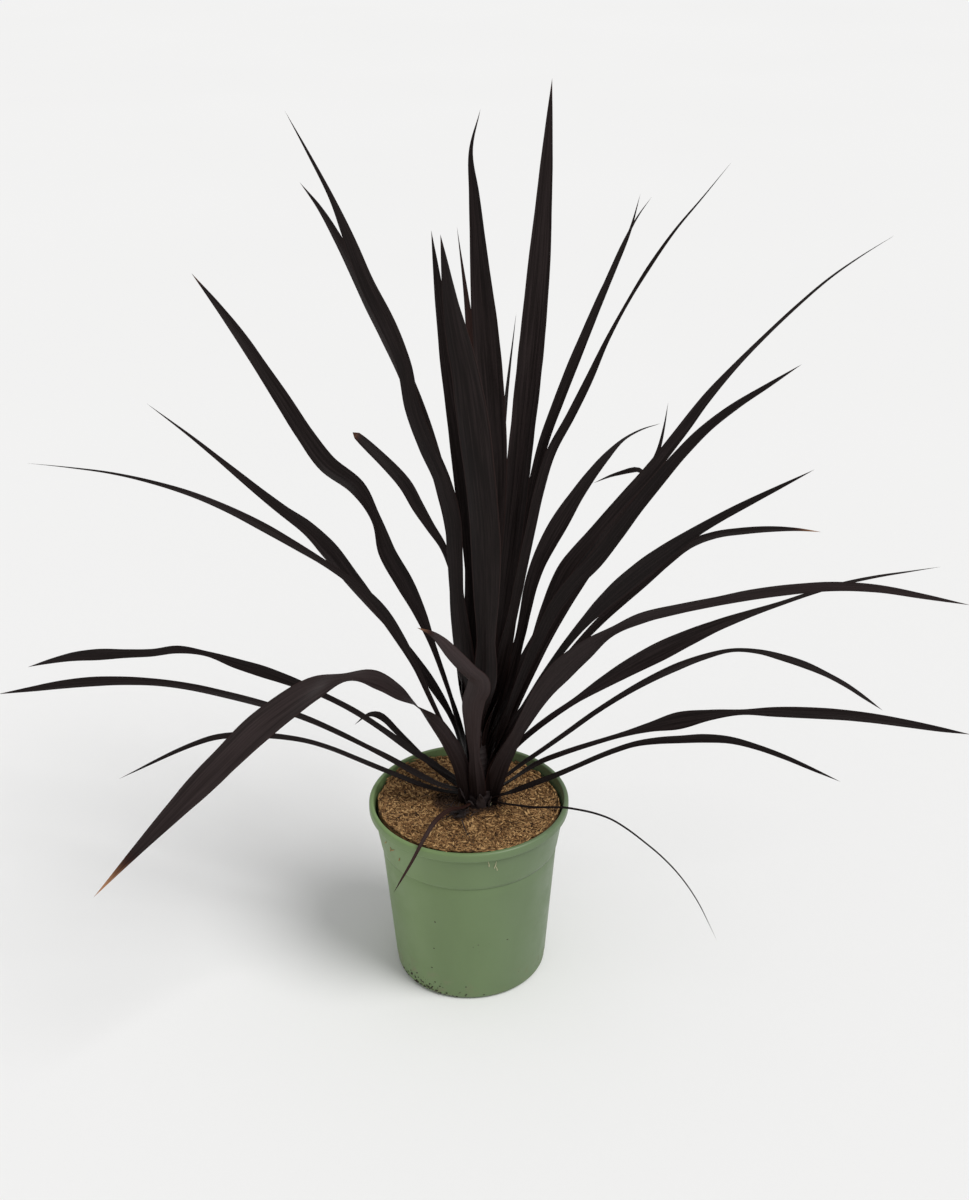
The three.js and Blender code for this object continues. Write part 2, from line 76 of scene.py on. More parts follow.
# How a leaf differs from the plain ones. tone runs from 0, near black, to 1, greyish; it is partly the
# blade's own colour and partly painted light and shade, greyer on blades that face the light and near black
# on shaded inner ones. dry is how brown the whole blade is, and tip_dry is how brown its tip is from
# tip_start on. sheath is half its foot's width and reach is how far up the foot narrows, both in millimetres.
# Where they are 0 they follow the foot's height on the stem. slim scales the blade's width, and turns roll it
# about its midline, in degrees at shares of its length.
PLAIN_LEAF = {
    "tone": 0.1, "dry": 0.0, "tip_dry": 0.3, "tip_start": 0.98, "sheath": 0, "reach": 0, "slim": 1.0,
    "turns": ((0, 0), (1, 0)),
}
LEAF_LOOKS = {
    "leaf_front_folded": {"tone": 0.8, "tip_dry": 0.7, "tip_start": 0.93, "sheath": 8, "reach": 90},
    "leaf_front_drooping": {
        "tone": 0.4, "tip_dry": 1.0, "tip_start": 0.9, "sheath": 8, "reach": 240,
        "turns": ((0, 62), (0.1, 75), (0.2, 100), (0.34, 0), (1, 0)),
    },
    "leaf_centre_front": {"tone": 0.08, "sheath": 12, "reach": 200},
    "leaf_centre_hooked": {"tone": 0.14, "dry": 0.05, "sheath": 11, "reach": 240},
    "leaf_centre_tallest": {"tone": 0.2, "dry": 0.03, "sheath": 11, "reach": 340},
    "leaf_centre_back_left": {"tone": 0.06, "sheath": 12, "reach": 290},
    "leaf_back_brown": {"tone": 0.16, "dry": 0.2, "sheath": 9, "reach": 260},
    "leaf_back_needle": {"tone": 0.06, "sheath": 6, "reach": 160},
    "leaf_left_upright_front": {"dry": 0.04, "sheath": 10, "reach": 320},
    "leaf_left_high": {"tip_dry": 0.5},
    "leaf_left_middle": {"tone": 0.16},
    "leaf_left_cut_short": {"tip_dry": 0.5, "tip_start": 0.985},
    "leaf_left_low_upper": {"tone": 0.12, "dry": 0.04},
    "leaf_left_curl": {"sheath": 3, "reach": 45},
    "leaf_front_over_rim": {"dry": 0.24, "sheath": 1.8, "reach": 40, "slim": 0.78},
    "leaf_right_long_arch": {
        "tone": 0.5, "sheath": 9, "reach": 170,
        "turns": ((0, 80), (0.06, 100), (0.1, 57), (0.18, 20), (0.26, 0), (1, 0)),
    },
    "leaf_right_middle": {"tone": 0.14, "sheath": 6, "reach": 110},
    "leaf_right_broad": {"sheath": 8, "reach": 160},
    "leaf_right_hook_back": {
        "slim": 1.6, "turns": ((0, 0), (0.78, 0), (0.85, -60), (0.9, -110), (0.95, -80), (1, -80)),
    },
    "leaf_right_longest": {"dry": 0.03},
    "leaf_right_wispy": {"dry": 0.05},
    "leaf_right_yellow_tip": {"tip_dry": 0.9, "tip_start": 0.93, "sheath": 7, "reach": 140},
    "leaf_right_level": {"tone": 0.12},
    "leaf_right_over_rim": {"tone": 0.05, "dry": 0.06, "sheath": 1.4, "reach": 30, "slim": 0.5},
}


# Settings

def colour_setting(name, description, default):
    return FloatVectorProperty(
        name=name, description=description, default=default, subtype="COLOR", size=3, min=0, max=1)


def length_setting(name, description, default):
    """A length, with its default in millimetres."""
    return FloatProperty(name=name, description=description, default=default * MM, unit="LENGTH")


def angle_setting(name, description, default):
    """An angle, with its default in degrees."""
    return FloatProperty(name=name, description=description, default=math.radians(default), unit="ROTATION")


class PotSettings(bpy.types.PropertyGroup):
    """Sizes and colours of the moulded pot."""

    colour: colour_setting("Plastic", "Green of the moulded plastic", (0.176, 0.262, 0.104))
    # Painted shade: this darker, greyer green shades the right of the wall, standing in for how the light
    # falls there.
    painted_side_shade: colour_setting("Sunned plastic", "Greyer green towards the right", (0.108, 0.158, 0.077))
    wear: colour_setting("Dust", "Dry dust and splashes low on the wall", (0.23, 0.21, 0.13))
    lip_height: length_setting("Lip height", "Height of the rounded rim", 9)
    collar_radius: length_setting("Collar radius", "Outer radius just under the lip", 91)
    collar_height: length_setting("Collar height", "From the rim down to the faint step", 46)
    step: length_setting("Step", "How far the collar stands out from the body", 0.8)
    body_radius: length_setting("Body radius", "Outer radius just under the step", 84)
    base_radius: length_setting("Base radius", "Outer radius at the ground", 73)
    wall: length_setting("Wall", "Wall thickness", 1.6)
    drain_holes: IntProperty(name="Drain holes", description="Number of holes in the base", default=6)


class DressingSettings(bpy.types.PropertyGroup):
    """Sizes and colours of the husk on top of the mix."""

    chips: IntProperty(name="Chips", description="Number of loose husk chips", default=7800)
    chip_length: length_setting("Chip length", "Length of a middling chip", 7.4)
    chip_width: length_setting("Chip width", "Width of a middling chip", 1.8)
    # The dark end of the husk's colours also serves as the painted shade round the crown.
    dark: colour_setting("Dark husk", "Colour of the oldest and dampest chips", (0.03, 0.014, 0.007))
    middle: colour_setting("Brown husk", "Colour of most chips", (0.24, 0.122, 0.044))
    pale: colour_setting("Pale husk", "Colour of the driest chips", (0.56, 0.345, 0.15))
    seed: IntProperty(name="Seed", description="Start of the random placing", default=11)


class LeafSettings(bpy.types.PropertyGroup):
    """Sizes and colours of the strap leaves."""

    # Painted light and shade: tone mixes the near-black colour of shaded blades with the greyed colour that
    # stands in for the sheen of blades facing the light.
    dark: colour_setting("Dark blade", "Near-black burgundy of the shaded blades", (0.0048, 0.0022, 0.0018))
    light: colour_setting("Greyed blade", "Dull burgundy of the most open blades", (0.044, 0.0305, 0.0305))
    edge: colour_setting("Edge", "Red-brown line along both edges", (0.024, 0.008, 0.006))
    dried: colour_setting("Dried", "Tan of a fully dried tip", (0.42, 0.22, 0.115))
    sides: IntProperty(name="Section points", description="Points round a blade's section", default=32)
    ring_step: length_setting("Ring step", "Distance between sections along a blade", 4.5)
    foot_thickness: length_setting("Foot thickness", "Midrib thickness at the foot", 1.8)
    blade_thickness: length_setting("Blade thickness", "Midrib thickness further out", 0.9)
    clasp_length: length_setting("Clasp length", "Length over which a foot wraps the stem", 85)
    channel: angle_setting("Channel", "How far each half of a blade is curled up from flat", 30)
    sway: angle_setting("Sway", "How far a blade rolls to and fro along its length", 13)
    foot_drop: length_setting("Foot drop", "How far a foot reaches down the stem", 12)


class StageSettings(bpy.types.PropertyGroup):
    """Camera, light and floor."""

    camera_place: FloatVectorProperty(
        name="Camera", description="Where the camera stands", subtype="TRANSLATION", unit="LENGTH",
        size=3, default=(0, -1.2782, 1.0364))
    camera_pitch: angle_setting("Pitch", "How far the camera looks down", 26.677)
    camera_yaw: angle_setting("Yaw", "How far the camera looks to the right", 0.75)
    camera_roll: angle_setting("Roll", "Turn about the line of sight", -0.548)
    lens: FloatProperty(name="Lens", description="Focal length", default=48, unit="CAMERA")
    floor: colour_setting("Floor", "Pale floor", (0.855, 0.855, 0.855))
    sky: FloatProperty(name="Fill", description="Strength of the even white fill", default=0.5)
    key: FloatProperty(name="Key", description="Strength of the broad key light", default=2.12)
    key_spread: angle_setting("Key spread", "Apparent width of the key light", 30)


class PlantSettings(bpy.types.PropertyGroup):
    """Everything a user may change before building."""

    pot: PointerProperty(type=PotSettings, name="Pot", description="Pot settings")
    dressing: PointerProperty(type=DressingSettings, name="Dressing", description="Husk settings")
    leaves: PointerProperty(type=LeafSettings, name="Leaves", description="Leaf settings")
    stage: PointerProperty(type=StageSettings, name="Stage", description="Camera and light settings")


# Small helpers for numbers

def mix(a, b, share):
    return a + (b - a) * share


def ease(value, start, end):
    """0 up to start, 1 from end on, and smooth between them."""
    share = max(0.0, min(1.0, (value - start) / (end - start)))
    return share * share * (3 - 2 * share)


def smooth_curve(knots, values, place):
    """The smooth curve through the values, set at rising knots."""
    after = max(1, min(bisect(knots, place), len(knots) - 1))
    span = knots[after] - knots[after - 1]
    share = (place - knots[after - 1]) / span

    def slope(index):
        low, high = max(index - 1, 0), min(index + 1, len(knots) - 1)
        return (values[high] - values[low]) / (knots[high] - knots[low])

    square, cube = share ** 2, share ** 3
    held = values[after - 1] * (2 * cube - 3 * square + 1) + values[after] * (3 * square - 2 * cube)
    leaning = slope(after - 1) * (cube - 2 * square + share) + slope(after) * (cube - square)
    return held + leaning * span


# Small helpers for materials

# Nearly all values of a noise texture lie between these
CLOUD_RANGE = (0.3, 0.7)


def new_material(name, roughness, specular):
    material = bpy.data.materials.new(name)
    material.use_nodes = True
    shader = material.node_tree.nodes["Principled BSDF"]
    shader.inputs["Roughness"].default_value = roughness
    shader.inputs["Specular IOR Level"].default_value = specular
    return material, material.node_tree, shader.inputs


def wire(tree, shader, **outputs):
    """Links outputs to the shader's sockets. A name has an underscore where the socket's has a space."""
    for name, output in outputs.items():
        tree.links.new(output, shader[name.replace("_", " ")])


def node(tree, kind, inputs=(), **settings):
    """Adds a node with its settings, and sets or links its inputs, given as (socket, value) pairs."""
    made = tree.nodes.new(kind)
    for name, value in settings.items():
        setattr(made, name, value)
    for socket, value in inputs:
        if isinstance(value, bpy.types.NodeSocket):
            tree.links.new(value, made.inputs[socket])
        else:
            made.inputs[socket].default_value = value
    return made


def object_place(tree):
    return node(tree, "ShaderNodeTexCoord").outputs["Object"]


def attribute(tree, name, output="Fac"):
    return node(tree, "ShaderNodeAttribute", attribute_name=name).outputs[output]


def stretched(tree, place, scale):
    return node(tree, "ShaderNodeMapping", [("Vector", place), ("Scale", scale)]).outputs["Vector"]


def clouds(tree, place, scale, detail, roughness=0.5):
    inputs = [("Vector", place), ("Scale", scale), ("Detail", detail), ("Roughness", roughness)]
    return node(tree, "ShaderNodeTexNoise", inputs).outputs["Fac"]


def maths(tree, operation, *values, clamp=False):
    pairs = list(enumerate(values))
    return node(tree, "ShaderNodeMath", pairs, operation=operation, use_clamp=clamp).outputs[0]


def product(tree, first, second):
    return maths(tree, "MULTIPLY", first, second)


def ranged(tree, value, low, high, to_low=0.0, to_high=1.0):
    """value, carried smoothly from one range to another, and held at its ends."""
    pairs = [("Value", value), ("From Min", low), ("From Max", high), ("To Min", to_low), ("To Max", to_high)]
    return node(tree, "ShaderNodeMapRange", pairs, interpolation_type="SMOOTHSTEP").outputs[0]


def grey_of(tree, shade):
    pairs = [(channel, shade) for channel in ("Red", "Green", "Blue")]
    return node(tree, "ShaderNodeCombineColor", pairs).outputs[0]


def ramp(tree, factor, *stops):
    made = node(tree, "ShaderNodeValToRGB", [("Fac", factor)])
    band = made.color_ramp.elements
    while len(band) < len(stops):
        band.new(1.0)
    for element, (position, colour) in zip(band, stops):
        element.position = position
        element.color = (*colour, 1.0)
    return made.outputs["Color"]


def mixed(tree, factor, first, second, blend="MIX"):
    made = node(tree, "ShaderNodeMix", [(0, factor)], data_type="RGBA", blend_type=blend)
    for socket, colour in ((6, first), (7, second)):
        if isinstance(colour, bpy.types.NodeSocket):
            tree.links.new(colour, made.inputs[socket])
        else:
            made.inputs[socket].default_value = (*colour, 1.0)
    return made.outputs[2]


def bump(tree, height, depth, strength=1.0, under=None):
    pairs = [("Height", height), ("Distance", depth), ("Strength", strength)]
    if under:
        pairs.append(("Normal", under))
    return node(tree, "ShaderNodeBump", pairs).outputs["Normal"]


def plastic_material(look):
    """Satin green plastic with painted light and shade, lighter on the left and greyer on the right, with
    faint flow marks, specks and dust near the ground.
    """
    material, tree, shader = new_material("green_plastic", 0.42, 0.4)
    place = object_place(tree)
    parts = node(tree, "ShaderNodeSeparateXYZ", [("Vector", place)]).outputs
    height, side = parts["Z"], parts["X"]
    marbling = clouds(tree, stretched(tree, place, (14, 14, 5)), 1.0, 4)
    shade = grey_of(tree, ranged(tree, marbling, *CLOUD_RANGE, 0.93, 1.07))
    # Painted light and shade: the wall turns from the lighter green on the left to the darker green on the
    # right.
    painted_side_shade = ranged(tree, side, -85 * MM, 85 * MM)
    side_shaded = mixed(tree, painted_side_shade, look.colour, look.painted_side_shade)
    green = mixed(tree, 1.0, side_shaded, shade, "MULTIPLY")
    low = ranged(tree, height, 2 * MM, 45 * MM, 1.0, 0.0)
    dust = product(tree, ranged(tree, clouds(tree, place, 90, 6, 0.7), 0.5, 0.66), low)
    caked = product(tree, dust, ranged(tree, side, -65 * MM, 10 * MM, 1.0, 0.3))
    dusted = mixed(tree, product(tree, caked, 0.9), green, look.wear)
    cells = node(tree, "ShaderNodeTexVoronoi", [("Vector", place), ("Scale", 170)], feature="F1")
    grit = ranged(tree, cells.outputs["Distance"], 0.1, 0.2, 1.0, 0.0)
    speck = product(tree, grit, ranged(tree, clouds(tree, place, 23, 2), 0.62, 0.7))
    specked = mixed(tree, product(tree, speck, 0.5), dusted, (0.05, 0.045, 0.03))
    worn = ranged(tree, clouds(tree, place, 40, 5, 0.6), *CLOUD_RANGE, 0.36, 0.5)
    rough = maths(tree, "ADD", worn, product(tree, dust, 0.2))
    peel = bump(tree, clouds(tree, place, 420, 2), 0.06 * MM, 0.5)
    flow = bump(tree, clouds(tree, stretched(tree, place, (70, 70, 3)), 1.0, 2), 0.15 * MM, 0.5, peel)
    wire(tree, shader, Base_Color=specked, Roughness=rough, Normal=flow)
    return material


def mix_material():
    """Dark crumbly potting mix."""
    material, tree, shader = new_material("potting_mix", 0.92, 0.2)
    crumbs = clouds(tree, object_place(tree), 260, 6, 0.7)
    wet, damp, dry = (0.008, 0.005, 0.004), (0.035, 0.022, 0.014), (0.09, 0.06, 0.04)
    colour = ramp(tree, crumbs, (0.3, wet), (0.6, damp), (0.8, dry))
    wire(tree, shader, Base_Color=colour, Normal=bump(tree, crumbs, 1.5 * MM))
    return material


def husk_material(look):
    """Fibrous husk, each chip in its own tone from dark and damp to pale and dry."""
    material, tree, shader = new_material("coir_husk", 0.8, 0.25)
    fibres = clouds(tree, object_place(tree), 900, 3, 0.6)
    tone = maths(tree, "ADD", attribute(tree, "tone"), ranged(tree, fibres, *CLOUD_RANGE, -0.14, 0.14))
    colour = ramp(tree, tone, (0.0, look.dark), (0.5, look.middle), (1.0, look.pale))
    rough = ranged(tree, fibres, *CLOUD_RANGE, 0.72, 0.92)
    wire(tree, shader, Base_Color=colour, Roughness=rough, Normal=bump(tree, fibres, 0.25 * MM))
    return material


def strand_material():
    """Bleached, straw-pale fibre."""
    material, tree, shader = new_material("pale_strand", 0.75, 0.2)
    fibres = clouds(tree, object_place(tree), 900, 3, 0.6)
    wire(tree, shader, Base_Color=ramp(tree, fibres, (0.3, (0.36, 0.35, 0.2)), (0.7, (0.62, 0.6, 0.4))))
    return material


def leaf_material(look):
    """Tough near-black burgundy blade with fine lengthwise veins, red-brown edges and drying tips."""
    material, tree, shader = new_material("burgundy_blade", 0.42, 0.13)
    blade = attribute(tree, "blade", "Vector")
    across = node(tree, "ShaderNodeSeparateXYZ", [("Vector", blade)]).outputs["X"]
    streaks = clouds(tree, stretched(tree, blade, (7, 16, 3)), 1.0, 5, 0.6)
    veins = clouds(tree, stretched(tree, blade, (30, 5, 3)), 1.0, 2)
    broad_lines = ranged(tree, streaks, *CLOUD_RANGE, -0.19, 0.19)
    fine_lines = ranged(tree, veins, *CLOUD_RANGE, -0.13, 0.13)
    lines = maths(tree, "ADD", broad_lines, fine_lines)
    tone = maths(tree, "ADD", attribute(tree, "tone"), lines, clamp=True)
    # Painted light and shade: tone blends from the near-black of shaded blades and feet to the greyed sheen
    # of blades that face the light.
    burgundy = mixed(tree, tone, look.dark, look.light)
    margin = ranged(tree, maths(tree, "ABSOLUTE", across), 0.88, 1.0, 0.0, 0.6)
    edged = mixed(tree, margin, burgundy, look.edge)
    dry = attribute(tree, "dry")
    patches = product(tree, product(tree, lines, 0.6), ranged(tree, dry, 0.0, 0.2))
    patchy = maths(tree, "ADD", dry, patches)
    dark, reddish, brown = (0.012, 0.005, 0.004), (0.03, 0.011, 0.008), (0.15, 0.07, 0.036)
    browned = ramp(tree, patchy, (0.0, dark), (0.35, reddish), (0.65, brown), (1.0, look.dried))
    coloured = mixed(tree, ranged(tree, patchy, 0.02, 0.3), edged, browned)
    rough = ranged(tree, streaks, *CLOUD_RANGE, 0.4, 0.56)
    ribbed = bump(tree, streaks, 0.3 * MM, 0.5, bump(tree, veins, 0.22 * MM, 0.8))
    wire(tree, shader, Base_Color=coloured, Roughness=rough, Normal=ribbed)
    return material


def bark_material():
    """Dark fibrous stem ringed with old leaf scars."""
    material, tree, shader = new_material("stem_bark", 0.85, 0.08)
    fibre = clouds(tree, stretched(tree, object_place(tree), (300, 300, 60)), 1.0, 5, 0.65)
    black, dark, worn = (0.003, 0.002, 0.002), (0.006, 0.004, 0.0035), (0.04, 0.022, 0.014)
    colour = ramp(tree, fibre, (0.3, black), (0.6, dark), (0.85, worn))
    wire(tree, shader, Base_Color=colour, Normal=bump(tree, fibre, 0.8 * MM))
    return material


def floor_material(colour):
    """Plain matt floor with the faintest unevenness."""
    material, tree, shader = new_material("pale_floor", 0.95, 0.0)
    tint = grey_of(tree, ranged(tree, clouds(tree, object_place(tree), 0.8, 2), *CLOUD_RANGE, 0.992, 1.0))
    wire(tree, shader, Base_Color=mixed(tree, 1.0, colour, tint, "MULTIPLY"))
    return material


# Small helpers for shapes

def arc(centre, radius, start, end, steps):
    """Points on an arc of a section, in (radius, height), with its angles in degrees."""
    angles = [math.radians(mix(start, end, step / steps)) for step in range(steps + 1)]
    return [(centre[0] + radius * math.cos(turn), centre[1] + radius * math.sin(turn)) for turn in angles]


def lathe(profile, segments, centre=(0.0, 0.0)):
    """A closed body turned about an upright axis from (radius, height) points that start and end on it."""
    bm = bmesh.new()
    points = [bm.verts.new((centre[0] + radius, centre[1], height)) for radius, height in profile]
    outline = [bm.edges.new(pair) for pair in zip(points, points[1:])]
    bmesh.ops.spin(
        bm, geom=points + outline, cent=(*centre, 0), axis=(0, 0, 1), angle=math.tau,
        steps=segments, use_merge=True)
    bmesh.ops.remove_doubles(bm, verts=bm.verts, dist=MERGE)
    bmesh.ops.recalc_face_normals(bm, faces=bm.faces)
    return bm


def swept(place, sides, rings):
    """A closed body swept from foot to tip. place gives the point at a share of the length for a direction
    in the section, which is (0, 0) at both ends."""
    bm = bmesh.new()
    bmesh.ops.create_uvsphere(bm, u_segments=sides, v_segments=rings, radius=1)
    for vert in bm.verts:
        out = vert.co.xy
        share = math.atan2(out.length, -vert.co.z) / math.pi
        across, side = out.normalized() if out.length > NEAR_POLE else (0.0, 0.0)
        vert.co = place(share, across, side)
    return bm


def mesh_of(bm, name):
    """Makes a mesh of a finished shape, and frees the shape."""
    mesh = bpy.data.meshes.new(name)
    bm.to_mesh(mesh)
    bm.free()
    return mesh


def linked(name, data):
    """A new object that shows a mesh, a light or a camera in the scene."""
    made = bpy.data.objects.new(name, data)
    bpy.context.scene.collection.objects.link(made)
    return made


def add_mesh(bm, mesh, tone):
    """Moves a small mesh into a bigger shape, with the same tone at all its points."""
    layer = mesh.attributes.get("tone") or mesh.attributes.new("tone", "FLOAT", "POINT")
    layer.data.foreach_set("value", [tone] * len(mesh.vertices))
    bm.from_mesh(mesh)
    bpy.data.meshes.remove(mesh)


def add_strand(bm, points, radius, sides, rings, tone):
    """Adds a tapering strand through the points, such as a twig or a fibre."""
    knots = list(range(len(points)))
    reach = 0.05
    taper = 0.6

    def place(share, across, side):
        at = share * knots[-1]
        centre = smooth_curve(knots, points, at)
        ahead = smooth_curve(knots, points, min(at + reach, knots[-1]))
        behind = smooth_curve(knots, points, max(at - reach, 0))
        along = (ahead - behind).normalized()
        level = along.cross(Vector((0.02, 0.03, 1))).normalized()
        width = radius * (1 - taper * share)
        return centre + (level * across + along.cross(level) * side) * width

    add_mesh(bm, mesh_of(swept(place, sides, rings), "strand"), tone)


def node_copy(name):
    """A merged copy of a frame node's mesh."""
    bm = bmesh.new()
    bm.from_mesh(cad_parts[name].data)
    bmesh.ops.remove_doubles(bm, verts=bm.verts, dist=MERGE)
    return bm


def make_piece(name, bm, material, replaced=()):
    """Links a finished mesh into the scene as a piece that rides with the plant."""
    for face in bm.faces:
        face.smooth = True
    piece = linked(name, mesh_of(bm, name))
    piece.data.materials.append(material)
    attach(piece, "root")
    if replaced:
        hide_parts(*replaced)
    return piece


def material_named(name, make, *settings):
    return bpy.data.materials.get(name) or make(*settings)


# Pot

BASE_CORNER = 5 * MM
HOLE_RADIUS = 5 * MM
HOLE_CIRCLE = 48 * MM
FIRST_HOLE = math.radians(30)
CUTTER_DEPTH = 12 * MM


def outer_radius(look, height):
    """Radius of the pot's outer wall between its base corner and its lip."""
    step_height = POT_HIGH.z - look.collar_height
    lip_bottom = POT_HIGH.z - look.lip_height
    if height < step_height:
        return mix(look.base_radius, look.body_radius, height / step_height)
    share = (height - step_height) / (lip_bottom - step_height)
    return mix(look.body_radius + look.step, look.collar_radius, share)


def wall_points(look, heights, inset=0.0):
    """Points of the section on the outer wall, or inset from it, at heights in millimetres."""
    return [(outer_radius(look, height * MM) - inset, height * MM) for height in heights]


def pot_profile(look):
    """The pot's section from the axis out along its underside, up its wall, over its lip and back inside."""
    top = POT_HIGH.z
    step_height = top - look.collar_height
    lip_bottom = top - look.lip_height
    foot_rise = 0.8 * MM
    foot_inside = look.base_radius - 13 * MM
    foot_outside = look.base_radius - 11.5 * MM
    soft = 1.6 * MM
    tight = 0.7 * MM
    lip_round = 2.6 * MM
    lip_width = 4.6 * MM
    groove = look.body_radius - 0.2 * MM
    collar_foot = look.body_radius + 0.9 * look.step
    corner_turn = 4

    outer = [(0, foot_rise), (foot_inside, foot_rise), (foot_outside, 0)]
    outer += arc((look.base_radius - BASE_CORNER, BASE_CORNER), BASE_CORNER, -90, corner_turn, 8)
    outer += wall_points(look, (12, 30, 55, 80, 105, 125))
    outer += [(look.body_radius, step_height - soft), (groove, step_height - 0.6 * soft)]
    outer += [(groove, step_height - 0.3 * soft), (collar_foot, step_height - 0.05 * soft)]
    outer += wall_points(look, (142, 152, 162, 170))
    outer += [(look.collar_radius - 0.4 * MM, lip_bottom - 2.4 * MM)]
    outer += arc((look.collar_radius, lip_bottom - tight), tight, 180, 90, 4)
    outer += arc((RIM_RADIUS - soft, lip_bottom + soft), soft, -90, 0, 5)[1:]
    outer += arc((RIM_RADIUS - lip_round, top - lip_round), lip_round, 0, 90, 7)
    outer += arc((RIM_RADIUS - lip_width + soft, top - soft), soft, 90, 180, 4)

    inner = wall_points(look, (168, 150, 142), look.wall)
    inner += [(look.body_radius - look.wall, step_height - soft)]
    inner += wall_points(look, (110, 80, 50, 25, 10), look.wall)
    inner += arc((look.base_radius - BASE_CORNER, BASE_CORNER), BASE_CORNER - look.wall, 0, -90, 5)
    return outer + inner + [(0, look.wall)]


def cut_holes(piece, holes):
    """Cuts a ring of round holes up through the pot's base."""
    cutter_bm = bmesh.new()
    for index in range(holes):
        turn = FIRST_HOLE + math.tau * index / holes
        place = Matrix.Translation((HOLE_CIRCLE * math.cos(turn), HOLE_CIRCLE * math.sin(turn), 0))
        bmesh.ops.create_cone(
            cutter_bm, cap_ends=True, segments=24, radius1=HOLE_RADIUS, radius2=HOLE_RADIUS,
            depth=CUTTER_DEPTH, matrix=place)
    cutter = linked("hole_cutter", mesh_of(cutter_bm, "hole_cutter"))
    cut = piece.modifiers.new("Drain holes", "BOOLEAN")
    cut.operation = "DIFFERENCE"
    cut.object = cutter
    evaluated = piece.evaluated_get(bpy.context.evaluated_depsgraph_get())
    finished = bpy.data.meshes.new_from_object(evaluated)
    piece.modifiers.remove(cut)
    piece.data = finished
    bpy.data.objects.remove(cutter)


class CABBAGETREE_OT_pot(bpy.types.Operator):
    """Turn the nursery pot and cut its drain holes"""

    bl_idname = "cabbage_tree.pot"
    bl_label = "Pot"

    def execute(self, context):
        look = context.scene.cabbage_tree.pot
        plastic = material_named("green_plastic", plastic_material, look)
        bm = lathe(pot_profile(look), 160)
        piece = make_piece("nursery_pot", bm, plastic, ["pot"])
        cut_holes(piece, look.drain_holes)
        return {"FINISHED"}


# Fibres on the wall: turn in degrees, height and length in millimetres, lean in degrees, and tone
HUSK_FIBRES = (
    (-151, 164.5, 6, 50, 0.8), (-146, 161, 6, 80, 0.72), (-143, 163, 7, 35, 0.76), (-138, 156, 5, 70, 0.72),
)
PALE_FIBRES = ((-79.3, 171, 8, 100, 1.0), (-75.2, 168.5, 9, 76, 1.0), (-74.3, 163.5, 6, 105, 1.0))

# Pale strands that stand in the husk: x, y and length in millimetres
STANDING_STRANDS = ((22, -4, 9), (24, -6, 7), (20, -9, 6))

# Crumbs low on the left of the wall, and the turns and heights of a few apart from them
CRUMBS = 90
CRUMB_TURN, CRUMB_SPREAD = -127, 13
LONE_CRUMBS = ((-114.6, 94), (-117, 60), (-94.3, 16.5), (-120, 34), (-64, 70))


class CABBAGETREE_OT_pot_marks(bpy.types.Operator):
    """Stick stray husk fibres and crumbs of mix on the pot's wall"""

    bl_idname = "cabbage_tree.pot_marks"
    bl_label = "Fibres and crumbs on the pot"

    def execute(self, context):
        look = context.scene.cabbage_tree.pot
        draw = Random(5)
        husk = material_named("coir_husk", husk_material, context.scene.cabbage_tree.dressing)
        fibres = bmesh.new()
        for fibre in HUSK_FIBRES:
            add_wall_fibre(fibres, look, *fibre)
        make_piece("husk_fibres_on_pot", fibres, husk)
        strands = bmesh.new()
        for fibre in PALE_FIBRES:
            add_wall_fibre(strands, look, *fibre)
        for x, y, rise in STANDING_STRANDS:
            foot = Vector((x * MM, y * MM, DRESSING_HIGH.z))
            points = [foot, foot + Vector((1, 0, rise / 2)) * MM, foot + Vector((3, -1, rise)) * MM]
            add_strand(strands, points, 0.4 * MM, 6, 8, 1.0)
        make_piece("pale_strands", strands, material_named("pale_strand", strand_material))
        crumbs = bmesh.new()
        for _ in range(CRUMBS):
            turn = draw.gauss(CRUMB_TURN, CRUMB_SPREAD)
            height = abs(draw.gauss(0, 6)) * MM + 2.4 * MM
            add_wall_crumb(crumbs, look, turn, height, draw.uniform(0.3, 0.95) * MM, draw)
        for turn, height in LONE_CRUMBS:
            add_wall_crumb(crumbs, look, turn, height * MM, 0.8 * MM, draw)
        soil = material_named("potting_mix", mix_material)
        make_piece("mix_crumbs_on_pot", crumbs, soil)
        return {"FINISHED"}


def wall_frame(look, turn, height):
    """A point on the pot's outer wall, with the directions round, up and out."""
    angle = math.radians(turn)
    out = Vector((math.cos(angle), math.sin(angle), 0))
    radius = outer_radius(look, height)
    if height < BASE_CORNER:
        radius -= BASE_CORNER * (1 - math.sqrt(1 - (1 - height / BASE_CORNER) ** 2))
    return out * radius + Vector((0, 0, height)), Vector((-out.y, out.x, 0)), Vector((0, 0, 1)), out


def add_wall_fibre(bm, look, turn, height, length, lean, tone):
    """A thin bent fibre lying on the wall, leaning from level."""
    place, level, up, out = wall_frame(look, turn, height * MM)
    rise, run = math.sin(math.radians(lean)), math.cos(math.radians(lean))
    along = (level * run + up * rise) * length * MM
    bow = (level * rise - up * run) * length * MM * 0.05
    foot = place - along * 0.5 + out * 0.35 * MM
    tip = place + along * 0.5 + out * 0.9 * MM
    add_strand(bm, [foot, place + bow + out * 0.3 * MM, tip], 0.55 * MM, 6, 8, tone)


def add_wall_crumb(bm, look, turn, height, size, draw):
    """A flattened crumb pressed on the wall."""
    place, level, up, out = wall_frame(look, turn, height)
    crumb = bmesh.new()
    bmesh.ops.create_icosphere(crumb, subdivisions=1, radius=size)
    sized = Matrix.Diagonal((1.3, draw.uniform(0.7, 1.2), 0.5, 1))
    turned = Matrix((level, up, out)).transposed().to_4x4() @ sized
    bmesh.ops.transform(crumb, matrix=Matrix.Translation(place) @ turned, verts=crumb.verts)
    add_mesh(bm, mesh_of(crumb, "crumb"), 0.3)


# Potting mix and husk

